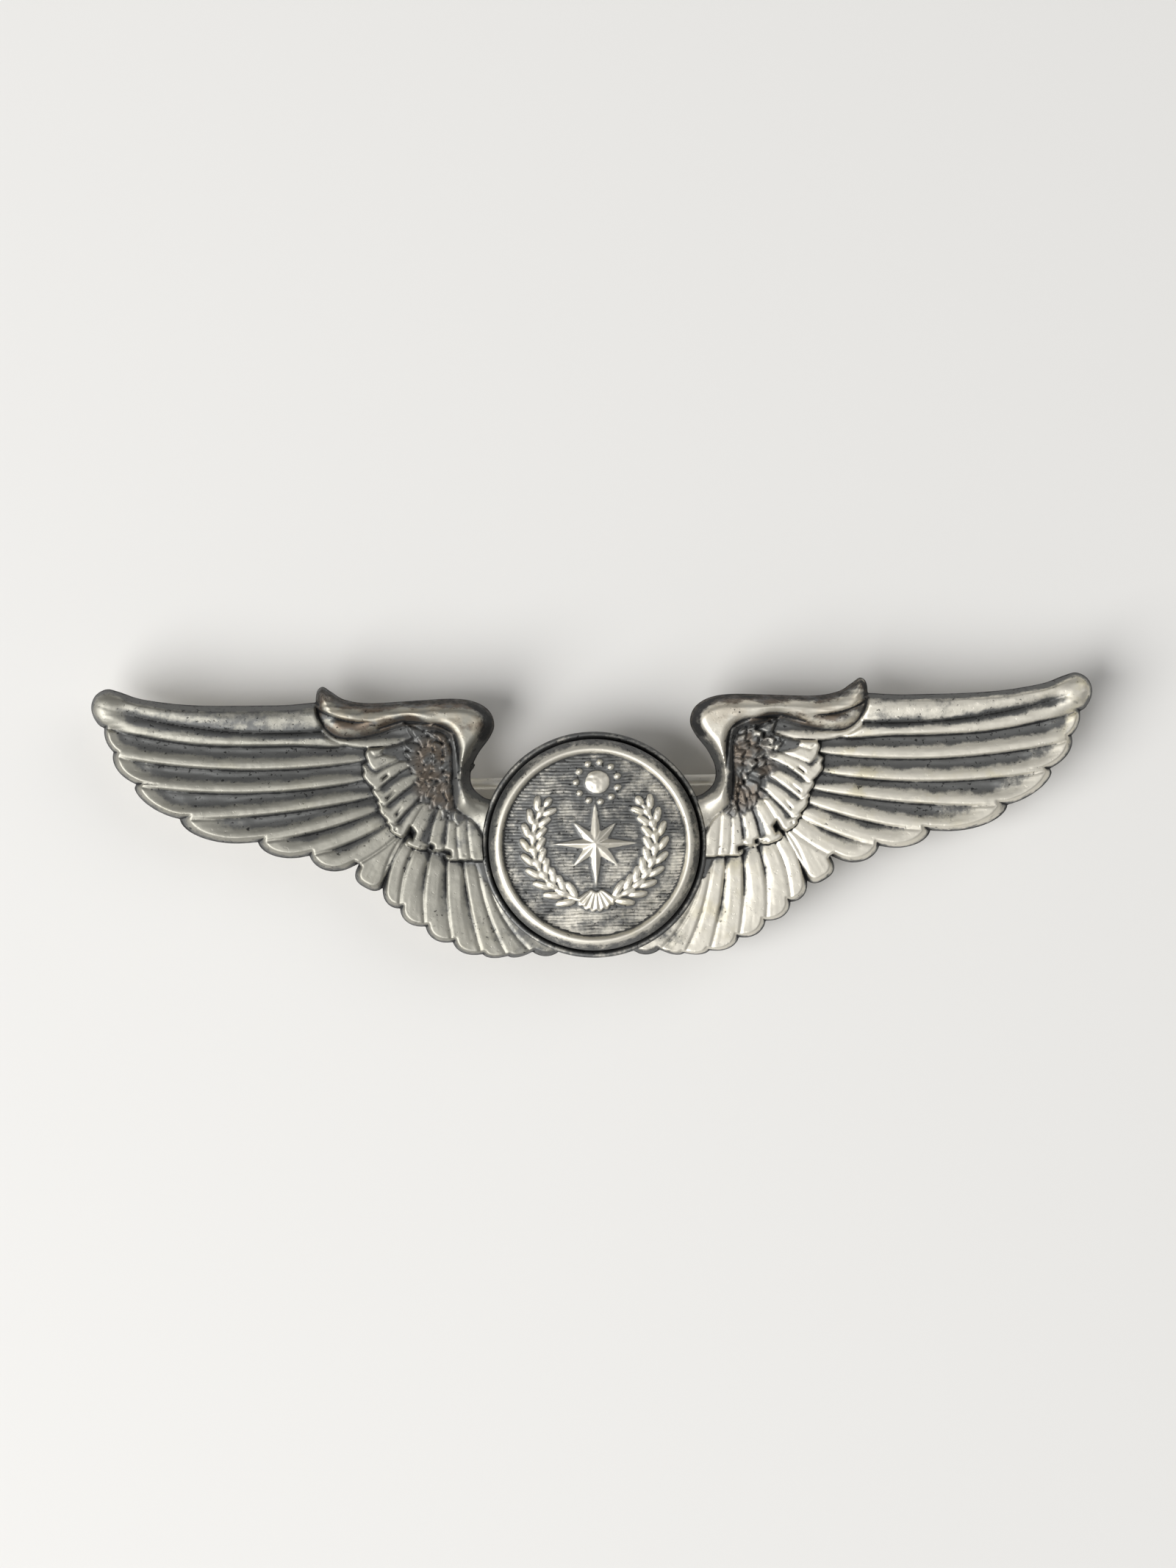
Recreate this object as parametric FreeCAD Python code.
"""Pilot wings pin: a die-struck pair of wings with a round medallion, and a hinged pin and safety catch behind.

Frame: millimetres, +X towards the wearer's left wing tip as the front is read, +Y towards the top of the
badge, +Z out of its front. The badge lies on its back: Z = 0 is the surface that it lies on, and X = 0,
Y = 0 is the middle of its footprint.

Wing outlines are drawn for a half wing. A drawn point (x, y) is measured from the medallion's centre.
"""
import FreeCAD
import Part
import math
import os

# ---- wings: overall sizes ----
wing_span = 76.2            # tip to tip
wing_height = 20.95         # lowest feather tip to the top of the curled wing tip
edge_height = 0.95          # low side of a flight feather, above the flat back
flight_crest = 1.55         # raised edge of a flight feather
leader_height = 1.75        # the long leading feather
leader_bead = 0.25          # its upper half stands this much prouder
covert_low = 1.6            # low side of a covert feather
covert_crest = 2.05         # raised edge of a covert feather
scapular_height = 1.9       # the ground between the coverts and the arm
arm_height = 2.2            # the arm of the wing, from neck to thumb feather
arm_ridge_height = 2.75     # its rounded crest

# ---- medallion and its seat ----
medallion_radius = 8.0
medallion_rim_width = 1.25
medallion_rim_crest = 1.9   # crest of the half-round rim, from the disc's flat back
medallion_dome = 0.75       # how much the field rises to its middle
seat_height = 1.3           # the flat that the medallion is soldered to, above the back
collar_gap = 0.08           # between the medallion's edge and the collar round it
collar_width = 0.5
collar_height = 1.75        # above the back
solder_film = 0.08          # thickness of every soldered joint
emblem_relief = 0.3         # how far the emblem stands off the field
star_reach = 4.1
star_short_reach = 2.5
star_waist = 0.95
spray_radius = 5.0
spray_width = 1.3
spray_half_angle = 52.0
boss_offset = 5.3
boss_radius = 0.6
medallion_solder_inset = 0.6

# ---- pin and where it runs ----
pin_height = 4.75           # the pin's line, above the medallion's centre
pin_radius = 0.45
hinge_reach = 20.0          # the hinge, from the middle of the badge
catch_reach = 20.0          # the catch's middle, from the middle of the badge
pin_point_past_catch = 1.6  # the point, past the end of the barrel
pin_taper_length = 5.2
pin_tip_radius = 0.06
eye_wall = 0.55             # metal round the hole in the pin's eye
eye_thickness = 1.0
heel_length = 2.1           # the tapered heel, from the hinge to where the wire is round
heel_swell = 0.05           # how much thicker the heel starts than the wire

# ---- hinge joint ----
rivet_radius = 0.45
rivet_clearance = 0.05      # radial, in the pin's eye
rivet_head_overhang = 0.27
rivet_head_height = 0.28
ear_wall = 0.95             # metal round the hole in each ear
ear_thickness = 0.5
ear_side_clearance = 0.08   # on each side of the eye
eye_foot_clearance = 0.37   # between the eye and the joint's foot
joint_foot_length = 3.2
joint_foot_thickness = 0.4
patch_thickness = 0.4
joint_patch_radius = 2.8
solder_margin = 0.25        # a solder fillet shows this far round its patch

# ---- safety catch ----
pin_catch_clearance = 0.17  # radial, between the wire and the rotor's bore
mouth_clearance = 0.2       # how much wider than the wire the way in is
rotor_wall = 0.46
rotor_clearance = 0.05      # radial, in the barrel
barrel_wall = 0.37
barrel_length = 3.0
barrel_foot_width = 2.2
rotor_end_inset = 0.1       # the rotor is this much shorter than the barrel at each end
tab_rest_angle = 70.0       # from straight back, towards the top of the badge
tab_stand_out = 1.4         # from the barrel's outside to the end of the tab
tab_width = 1.0
tab_thickness = 0.5
tab_side_clearance = 0.08
catch_patch_radius = 2.6

# ---- worked out from those ----
DRAWN_HALF_SPAN = 38.1
DRAWN_TOP = 12.466          # the curled wing tip
DRAWN_LOWEST = -8.5         # the lowest feather tip
DRAWN_HUB = 8.58            # hub radius that the outlines were drawn round
hub_radius = medallion_radius + collar_gap + collar_width
x_scale = (wing_span / 2 - hub_radius) / (DRAWN_HALF_SPAN - DRAWN_HUB)
y_scale = wing_height / (DRAWN_TOP - DRAWN_LOWEST)
medallion_edge = medallion_rim_crest - medallion_rim_width / 2   # upright edge, and the field beside the rim
hinge_hole_radius = rivet_radius + rivet_clearance
eye_radius = hinge_hole_radius + eye_wall
ear_radius = rivet_radius + ear_wall
heel_radius = pin_radius + heel_swell
ear_gap = max(eye_thickness, 2 * heel_radius) + 2 * ear_side_clearance
rivet_head_radius = rivet_radius + rivet_head_overhang
rotor_bore = pin_radius + pin_catch_clearance
rotor_radius = rotor_bore + rotor_wall
barrel_bore = rotor_radius + rotor_clearance
barrel_radius = barrel_bore + barrel_wall
mouth_width = 2 * pin_radius + mouth_clearance
tab_reach = barrel_radius + tab_stand_out
barrel_depth = math.sqrt(barrel_radius ** 2 - (mouth_width / 2) ** 2)
eye_drop = solder_film + patch_thickness + joint_foot_thickness + eye_foot_clearance + eye_radius
barrel_drop = solder_film + patch_thickness + barrel_radius
pin_drop = max(eye_drop, barrel_drop)           # the pin's line, behind the flat back
back_z = pin_drop + max(ear_radius, barrel_depth)
lowest_edge = max(hub_radius, -DRAWN_LOWEST * y_scale)
medallion_y = (lowest_edge - DRAWN_TOP * y_scale) / 2
pin_y = medallion_y + pin_height
pin_z = back_z - pin_drop
hinge_x = -hinge_reach
catch_x = catch_reach
patch_z = back_z - solder_film - patch_thickness

LONG = 40.0                 # longer than any piece that it cuts
SWALLOW = 0.3               # how deep fused shapes run into each other
rim_overlap = 0.15          # how far the field's dome runs in under the medallion's rim

# The leading feather: its top edge, and the rounded tip back to its lower edge.
LEADER_TOP = [(18.5, 11.0), (24.0, 11.0), (30.0, 11.1), (34.0, 11.6), (36.0, 12.25)]
LEADER_TIP = [(36.0, 12.25), (36.9, 12.45), (37.75, 12.0), (38.1, 11.1), (37.8, 10.1), (36.9, 9.35)]
LEADER_LOW = [(36.9, 9.35), (28.5, 8.0), (18.5, 8.0)]
LEADER_GROOVE = [(36.6, 10.9), (28.5, 9.15), (18.5, 9.15)]

# Flight feathers: raised edge (root, middle, end), then the tip's bulge and its far corner.
# The last number pair is the corner at the root that lies under the next feather.
PRIMARIES = [
    [(15.5, 6.9), (26.0, 6.1), (35.4, 7.1), (36.75, 7.9), (37.1, 9.8), (15.5, 8.6)],
    [(15.5, 5.5), (25.5, 4.35), (33.8, 4.9), (35.8, 5.8), (36.5, 7.6), (15.5, 7.3)],
    [(15.3, 4.2), (24.0, 2.75), (31.0, 2.4), (33.6, 3.3), (35.3, 5.3), (15.5, 6.0)],
    [(15.0, 3.4), (21.0, 1.35), (26.6, 0.55), (29.6, 0.95), (31.5, 2.7), (15.4, 4.8)],
    [(14.4, 2.6), (18.8, 0.4), (22.0, -0.45), (24.0, -0.25), (25.6, 0.9), (15.0, 4.0)],
    [(13.8, 2.0), (16.8, -0.5), (18.7, -1.5), (20.3, -1.4), (21.7, -0.3), (14.5, 3.2)],
]
LAST_PRIMARY = [(14.0, 1.2), (15.5, -1.4), (16.4, -2.95), (17.7, -2.85), (18.5, -1.5), (14.6, 2.4)]
SECONDARIES = [
    [(14.0, 1.4), (15.7, -1.2), (16.15, -3.1), (15.8, -3.95), (14.6, -4.6), (12.6, 1.0)],
    [(13.2, 0.8), (14.5, -2.2), (14.85, -4.6), (14.25, -5.6), (12.7, -6.0), (11.6, 0.4)],
    [(12.2, 0.2), (12.95, -3.0), (12.95, -5.95), (12.4, -6.85), (10.7, -7.2), (10.5, 0.0)],
    [(11.1, 0.0), (11.25, -3.8), (10.9, -7.15), (10.2, -7.95), (8.4, -8.15), (9.4, -0.2)],
    [(10.0, -0.2), (9.55, -4.4), (8.7, -8.05), (7.8, -8.5), (6.5, -8.3), (8.2, -0.8)],
    [(9.0, -0.8), (8.2, -4.8), (6.8, -8.25), (6.0, -8.45), (4.7, -8.0), (7.0, -2.0)],
    [(8.2, -2.0), (7.0, -5.4), (5.0, -7.95), (4.1, -8.1), (2.4, -7.5), (5.8, -3.6)],
]

# Coverts: a fan of short feathers, in polar form about a point on the arm.
FAN_CENTRE = (9.5, 6.2)
FAN_TIP_RADIUS = 7.35
FAN_ROOT_RADIUS = 3.4
FAN_FIRST_ANGLE = 16.0
FAN_LAST_ANGLE = -97.0
FAN_FEATHERS = 10
FAN_LOWER_FIRST = 5         # from this feather on, the raised edge is the outer one

# The arm: from the hub up the neck, round the shoulder and along to the thumb feather's curled tip.
ARM_OUTER = [(6.4, 3.0), (8.1, 3.6), (9.15, 4.5), (9.3, 5.7), (8.75, 7.0), (7.75, 8.3), (7.35, 9.3), (7.75, 10.4),
             (8.9, 11.15), (10.8, 11.4), (14.0, 11.25), (17.0, 11.1), (18.8, 11.35), (19.8, 11.95), (20.45, 12.35)]
ARM_INNER = [(20.45, 12.35), (20.9, 12.0), (20.95, 11.1), (20.5, 10.0), (19.8, 9.1), (18.6, 8.6), (16.8, 8.75),
             (14.5, 9.2), (12.2, 9.2), (11.0, 8.2), (11.05, 6.5), (10.9, 4.8), (10.2, 3.2), (9.0, 1.4), (6.4, -0.4)]
RIDGE_OUTER = [(6.8, 2.3), (8.6, 3.0), (9.75, 4.3), (9.85, 5.9), (9.2, 7.4), (8.3, 8.8), (8.2, 9.6), (8.9, 10.5),
               (11.0, 10.85), (14.5, 10.7), (17.6, 10.6), (19.2, 11.0), (20.3, 11.9)]
RIDGE_INNER = [(20.3, 11.9), (20.4, 11.1), (19.2, 10.2), (16.5, 9.7), (12.5, 9.8), (10.6, 9.2), (10.4, 7.6),
               (10.55, 5.6), (10.2, 4.0), (9.0, 2.2), (6.8, 0.6)]
UNDER_THUMB = [(10.9, 7.3), (16.5, 7.45), (19.3, 8.1), (20.2, 8.5), (20.6, 9.6), (11.6, 9.6)]


def at(point, z=0.0):
    """A drawn wing point in the part's frame: x counts outward from the hub's edge, y from the medallion's centre."""
    x = hub_radius + (point[0] - DRAWN_HUB) * x_scale
    return FreeCAD.Vector(x, medallion_y + point[1] * y_scale, back_z + z)


def arc(a, b, c):
    return Part.Arc(at(a), at(b), at(c)).toShape()


def line(a, b):
    return Part.LineSegment(at(a), at(b)).toShape()


def spline(points):
    curve = Part.BSplineCurve()
    curve.interpolate([at(p) for p in points])
    return curve.toShape()


def upright(edges, height):
    """The closed outline made into a solid that stands on the flat back."""
    face = Part.Face(Part.Wire(edges))
    return face.extrude(FreeCAD.Vector(0, 0, height))


def cylinder(radius, length, base, axis):
    return Part.makeCylinder(radius, length, FreeCAD.Vector(*base), FreeCAD.Vector(*axis))


def block(low, high):
    size = [h - l for l, h in zip(low, high)]
    return Part.makeBox(*size, FreeCAD.Vector(*low))


def feather(outline, low, crest):
    """One feather: upright sides, and a top that slopes from its raised edge down to its covered side."""
    root, middle, end, bulge, corner, covered_root = outline
    edges = [arc(root, middle, end), arc(end, bulge, corner), line(corner, covered_root), line(covered_root, root)]
    body = upright(edges, crest)
    raised = at(end, crest) - at(root, crest)
    across = at(covered_root, low) - at(root, crest)
    normal = raised.cross(across)
    if normal.z < 0:
        normal = normal * -1
    above = Part.makeBox(2 * LONG, 2 * LONG, LONG, FreeCAD.Vector(-LONG, -LONG, 0))
    above.Placement = FreeCAD.Placement(at(root, crest), FreeCAD.Rotation(FreeCAD.Vector(0, 0, 1), normal))
    above = Part.makeBox(2 * LONG, 2 * LONG, LONG, FreeCAD.Vector(-LONG, -LONG, 0)).transformGeometry(
        above.Placement.toMatrix())
    return body.cut(above)


def fan_point(radius, angle):
    turn = math.radians(angle)
    return (FAN_CENTRE[0] + radius * math.cos(turn), FAN_CENTRE[1] + radius * math.sin(turn))


def covert(index):
    """One covert of the fan. Its raised edge is its lower one high in the fan, and its outer one low in the fan."""
    step = (FAN_LAST_ANGLE - FAN_FIRST_ANGLE) / FAN_FEATHERS
    near = FAN_FIRST_ANGLE + step * index
    far = near + step
    shade = 0.45 * step
    if index >= FAN_LOWER_FIRST:
        near, far, shade = far, near, -shade
    return [
        fan_point(FAN_ROOT_RADIUS, far),
        fan_point((FAN_ROOT_RADIUS + FAN_TIP_RADIUS) / 2 + 0.1, far + 0.12 * shade),
        fan_point(FAN_TIP_RADIUS - 0.55, far),
        fan_point(FAN_TIP_RADIUS, (near + far) / 2 + 0.2 * shade),
        fan_point(FAN_TIP_RADIUS - 0.6, near - 0.5 * shade),
        fan_point(FAN_ROOT_RADIUS, near - shade),
    ]


def leader():
    """The long leading feather, with a groove line along it: the half above the groove is prouder."""
    low = arc(*LEADER_LOW)
    whole = upright([spline(LEADER_TOP), spline(LEADER_TIP), low, line(LEADER_LOW[-1], LEADER_TOP[0])], leader_height)
    groove_end, groove_start = LEADER_GROOVE[0], LEADER_GROOVE[-1]
    bead_edges = [
        spline(LEADER_TOP[:-1]),
        line(LEADER_TOP[-2], groove_end),
        arc(*LEADER_GROOVE),
        line(groove_start, LEADER_TOP[0]),
    ]
    return whole.fuse(upright(bead_edges, leader_height + leader_bead))


def arm():
    """The rounded arm of the wing, as a broad tier and a narrower crest on it."""
    tier = upright([spline(ARM_OUTER), spline(ARM_INNER), line(ARM_INNER[-1], ARM_OUTER[0])], arm_height)
    crest = upright([spline(RIDGE_OUTER), spline(RIDGE_INNER), line(RIDGE_INNER[-1], RIDGE_OUTER[0])],
                    arm_ridge_height)
    return tier.fuse(crest)


def scapular():
    """The ground under the small feathers between the arm and the coverts: a sector of the fan."""
    middle_angle = (FAN_FIRST_ANGLE + FAN_LAST_ANGLE) / 2
    reach = FAN_ROOT_RADIUS + SWALLOW
    first = fan_point(reach, FAN_FIRST_ANGLE + 32)
    last = fan_point(reach, FAN_LAST_ANGLE)
    edges = [line(FAN_CENTRE, first), arc(first, fan_point(reach, middle_angle), last), line(last, FAN_CENTRE)]
    return upright(edges, scapular_height)


def half_wing():
    shapes = [feather(f, edge_height, flight_crest) for f in PRIMARIES + SECONDARIES]
    shapes.append(feather(LAST_PRIMARY, edge_height, edge_height + SWALLOW))
    shapes.append(feather(UNDER_THUMB, edge_height, leader_height))
    shapes += [feather(covert(i), covert_low, covert_crest) for i in range(FAN_FEATHERS)]
    shapes += [leader(), arm()]
    return scapular().multiFuse(shapes)


def hub():
    """The round seat behind the medallion, with the thin collar that stands round the medallion's edge."""
    centre = (0, medallion_y, back_z)
    bore = medallion_radius + collar_gap
    seat = cylinder(hub_radius, collar_height, centre, (0, 0, 1))
    pocket = cylinder(bore, collar_height, (0, medallion_y, back_z + seat_height), (0, 0, 1))
    return seat, pocket


def wings_plate():
    right = half_wing()
    left = right.mirror(FreeCAD.Vector(0, 0, 0), FreeCAD.Vector(1, 0, 0))
    seat, pocket = hub()
    clear_above = cylinder(medallion_radius + collar_gap, LONG, (0, medallion_y, back_z + seat_height), (0, 0, 1))
    whole = seat.multiFuse([right, left]).cut(clear_above).cut(pocket)
    return whole.removeSplitter()


def field_sphere(base, raised):
    """The sphere that the struck field is part of, or one that much larger. Its poles lie off the field."""
    reach = medallion_radius - medallion_rim_width + rim_overlap
    radius = (reach ** 2 + medallion_dome ** 2) / (2 * medallion_dome)
    centre = FreeCAD.Vector(0, medallion_y, base + medallion_edge + medallion_dome - radius)
    return Part.makeSphere(radius + raised, centre, FreeCAD.Vector(0, 1, 0))


def emblem(base):
    """The raised device on the field: an eight-pointed star between two curved sprays, under a round boss."""
    centre = FreeCAD.Vector(0, medallion_y, base + medallion_edge / 2)

    def polar(radius, angle):
        turn = math.radians(angle)
        return centre + FreeCAD.Vector(radius * math.cos(turn), radius * math.sin(turn), 0)

    corners = []
    for i in range(8):
        corners.append(polar(star_reach if i % 2 == 0 else star_short_reach, 90 + 45 * i))
        corners.append(polar(star_waist, 112.5 + 45 * i))
    corners.append(corners[0])
    up = FreeCAD.Vector(0, 0, 2 * medallion_rim_crest)
    shapes = [Part.Face(Part.makePolygon(corners)).extrude(up)]
    for side in (0, 180):
        first, last = polar(spray_radius, side - spray_half_angle), polar(spray_radius, side + spray_half_angle)
        outer = Part.Arc(first, polar(spray_radius + spray_width / 2, side), last).toShape()
        inner = Part.Arc(last, polar(spray_radius - spray_width / 2, side), first).toShape()
        shapes.append(Part.Face(Part.Wire([outer, inner])).extrude(up))
    shapes.append(Part.makeCylinder(boss_radius, up.z, polar(boss_offset, 90)))
    whole = field_sphere(base, emblem_relief)
    return [shape.common(whole) for shape in shapes]


def medallion():
    """The struck disc: a flat-backed coin with a half-round rim and a domed field, and its emblem."""
    base = back_z + seat_height + solder_film
    centre = (0, medallion_y, base)
    coin = cylinder(medallion_radius, medallion_edge, centre, (0, 0, 1))
    rim = Part.makeTorus(medallion_radius - medallion_rim_width / 2, medallion_rim_width / 2,
                         FreeCAD.Vector(0, medallion_y, base + medallion_edge))
    core = cylinder(medallion_radius - medallion_rim_width / 2, 2 * medallion_rim_crest, centre, (0, 0, 1))
    field = core.common(field_sphere(base, 0))
    return coin.multiFuse([rim, field] + emblem(base)).removeSplitter()


def medallion_solder():
    return cylinder(medallion_radius - medallion_solder_inset, solder_film,
                    (0, medallion_y, back_z + seat_height), (0, 0, 1))


def patch(x, radius):
    """A round foot plate that spreads a fitting's load on the back."""
    return cylinder(radius, patch_thickness, (x, pin_y, patch_z), (0, 0, 1))


def patch_solder(x, radius):
    """The film under a patch, wider than it where the solder has run out."""
    return cylinder(radius + solder_margin, solder_film, (x, pin_y, back_z - solder_film), (0, 0, 1))


def joint_ears():
    """The hinge joint: a foot with two round-ended ears, drilled through for the rivet."""
    half = ear_gap / 2 + ear_thickness
    foot_z = patch_z - joint_foot_thickness
    foot = block((hinge_x - joint_foot_length / 2, pin_y - half, foot_z),
                 (hinge_x + joint_foot_length / 2, pin_y + half, patch_z))
    shapes = []
    for side in (-1, 1):
        start = pin_y + side * ear_gap / 2
        low_y = min(start, start + side * ear_thickness)
        shapes.append(cylinder(ear_radius, ear_thickness, (hinge_x, low_y, pin_z), (0, 1, 0)))
        shapes.append(block((hinge_x - ear_radius, low_y, pin_z),
                            (hinge_x + ear_radius, low_y + ear_thickness, foot_z)))
    hole = cylinder(rivet_radius, 2 * half, (hinge_x, pin_y - half, pin_z), (0, 1, 0))
    return foot.multiFuse(shapes).cut(hole).removeSplitter()


def hinge_rivet():
    half = ear_gap / 2 + ear_thickness
    shank = cylinder(rivet_radius, 2 * half, (hinge_x, pin_y - half, pin_z), (0, 1, 0))
    heads = [
        Part.makeCone(rivet_head_radius, rivet_radius, rivet_head_height,
                      FreeCAD.Vector(hinge_x, pin_y + side * half, pin_z), FreeCAD.Vector(0, side, 0))
        for side in (-1, 1)
    ]
    return shank.multiFuse(heads).removeSplitter()


def pin_stem():
    """The wire pin: a flat eye on the rivet, a tapered heel, a straight round wire and a long fine point."""
    wire_start = hinge_x + heel_length
    point_x = catch_x + barrel_length / 2 + pin_point_past_catch
    taper_start = point_x - pin_taper_length
    along = FreeCAD.Vector(1, 0, 0)

    def spot(x):
        return FreeCAD.Vector(x, pin_y, pin_z)

    eye = cylinder(eye_radius, eye_thickness, (hinge_x, pin_y - eye_thickness / 2, pin_z), (0, 1, 0))
    heel_start = hinge_x + hinge_hole_radius
    heel = Part.makeCone(heel_radius, pin_radius, wire_start - heel_start, spot(heel_start), along)
    wire = Part.makeCylinder(pin_radius, taper_start - wire_start, spot(wire_start), along)
    point = Part.makeCone(pin_radius, pin_tip_radius, pin_taper_length, spot(taper_start), along)
    hole = cylinder(hinge_hole_radius, 2 * eye_thickness, (hinge_x, pin_y - eye_thickness, pin_z), (0, 1, 0))
    return eye.multiFuse([heel, wire, point]).cut(hole).removeSplitter()


def mouth(depth):
    """The straight way in for the pin, from the pin's line out through the back of barrel or rotor."""
    return block((catch_x - barrel_length, pin_y - mouth_width / 2, pin_z - depth),
                 (catch_x + barrel_length, pin_y + mouth_width / 2, pin_z))


def tab_sweep_angle():
    """How far from straight back the barrel's window runs, to let the tab lie over on either side."""
    half_tab = math.degrees(math.asin((tab_thickness / 2 + tab_side_clearance) / barrel_bore))
    return tab_rest_angle + half_tab


def catch_barrel():
    """The fixed half of the catch: a bored barrel on a foot, open along its back, with a window for the tab."""
    start = catch_x - barrel_length / 2
    body = cylinder(barrel_radius, barrel_length, (start, pin_y, pin_z), (1, 0, 0))
    foot = block((start, pin_y - barrel_foot_width / 2, pin_z), (start + barrel_length, pin_y + barrel_foot_width / 2,
                                                                 patch_z))
    bore = cylinder(barrel_bore, 2 * barrel_length, (start - barrel_length / 2, pin_y, pin_z), (1, 0, 0))
    window_width = tab_width + 2 * tab_side_clearance
    sweep = tab_sweep_angle()
    window = Part.makeCylinder(2 * barrel_radius, window_width,
                               FreeCAD.Vector(catch_x - window_width / 2, pin_y, pin_z),
                               FreeCAD.Vector(1, 0, 0), 2 * sweep)
    # the sector's start is turned so that its middle faces straight back
    rest = sector_middle_angle(window)
    window.rotate(FreeCAD.Vector(catch_x, pin_y, pin_z), FreeCAD.Vector(1, 0, 0), -90 - rest)
    return body.fuse(foot).cut(bore).cut(mouth(2 * barrel_radius)).cut(window).removeSplitter()


def sector_middle_angle(sector):
    """The angle, about +X from +Y, of the middle of a sector whose axis is the pin's line."""
    centre = sector.CenterOfMass
    return math.degrees(math.atan2(centre.z - pin_z, centre.y - pin_y))


def catch_rotor():
    """The turning half of the catch: a split sleeve in the barrel, with a thumb tab out through the window."""
    length = barrel_length - 2 * rotor_end_inset
    start = catch_x - length / 2
    sleeve = cylinder(rotor_radius, length, (start, pin_y, pin_z), (1, 0, 0))
    bore = cylinder(rotor_bore, 2 * length, (start - length / 2, pin_y, pin_z), (1, 0, 0))
    tab = block((catch_x - tab_width / 2, pin_y - tab_thickness / 2, pin_z - tab_reach),
                (catch_x + tab_width / 2, pin_y + tab_thickness / 2, pin_z - rotor_bore - SWALLOW / 2))
    tab.rotate(FreeCAD.Vector(catch_x, pin_y, pin_z), FreeCAD.Vector(1, 0, 0), tab_rest_angle)
    return sleeve.cut(bore).cut(mouth(2 * barrel_radius)).fuse(tab).removeSplitter()


def export(name, shape):
    solids = shape.Solids
    assert solids and all(s.isValid() and s.Volume > 0 for s in solids), name
    kept = solids[0] if len(solids) == 1 else Part.makeCompound(solids)
    kept.exportStep(f"parts/{name}.step")
    print(f"{name}: {len(solids)} solid(s), {shape.Volume:.3f} mm3")


def main():
    os.makedirs("parts", exist_ok=True)
    pieces = {
        "wings_plate": wings_plate(),
        "medallion_disc": medallion(),
        "medallion_solder": medallion_solder(),
        "joint_patch": patch(hinge_x, joint_patch_radius),
        "joint_patch_solder": patch_solder(hinge_x, joint_patch_radius),
        "joint_ears": joint_ears(),
        "hinge_rivet": hinge_rivet(),
        "pin_stem": pin_stem(),
        "catch_patch": patch(catch_x, catch_patch_radius),
        "catch_patch_solder": patch_solder(catch_x, catch_patch_radius),
        "catch_barrel": catch_barrel(),
        "catch_rotor": catch_rotor(),
    }
    for name, shape in pieces.items():
        export(name, shape)


main()
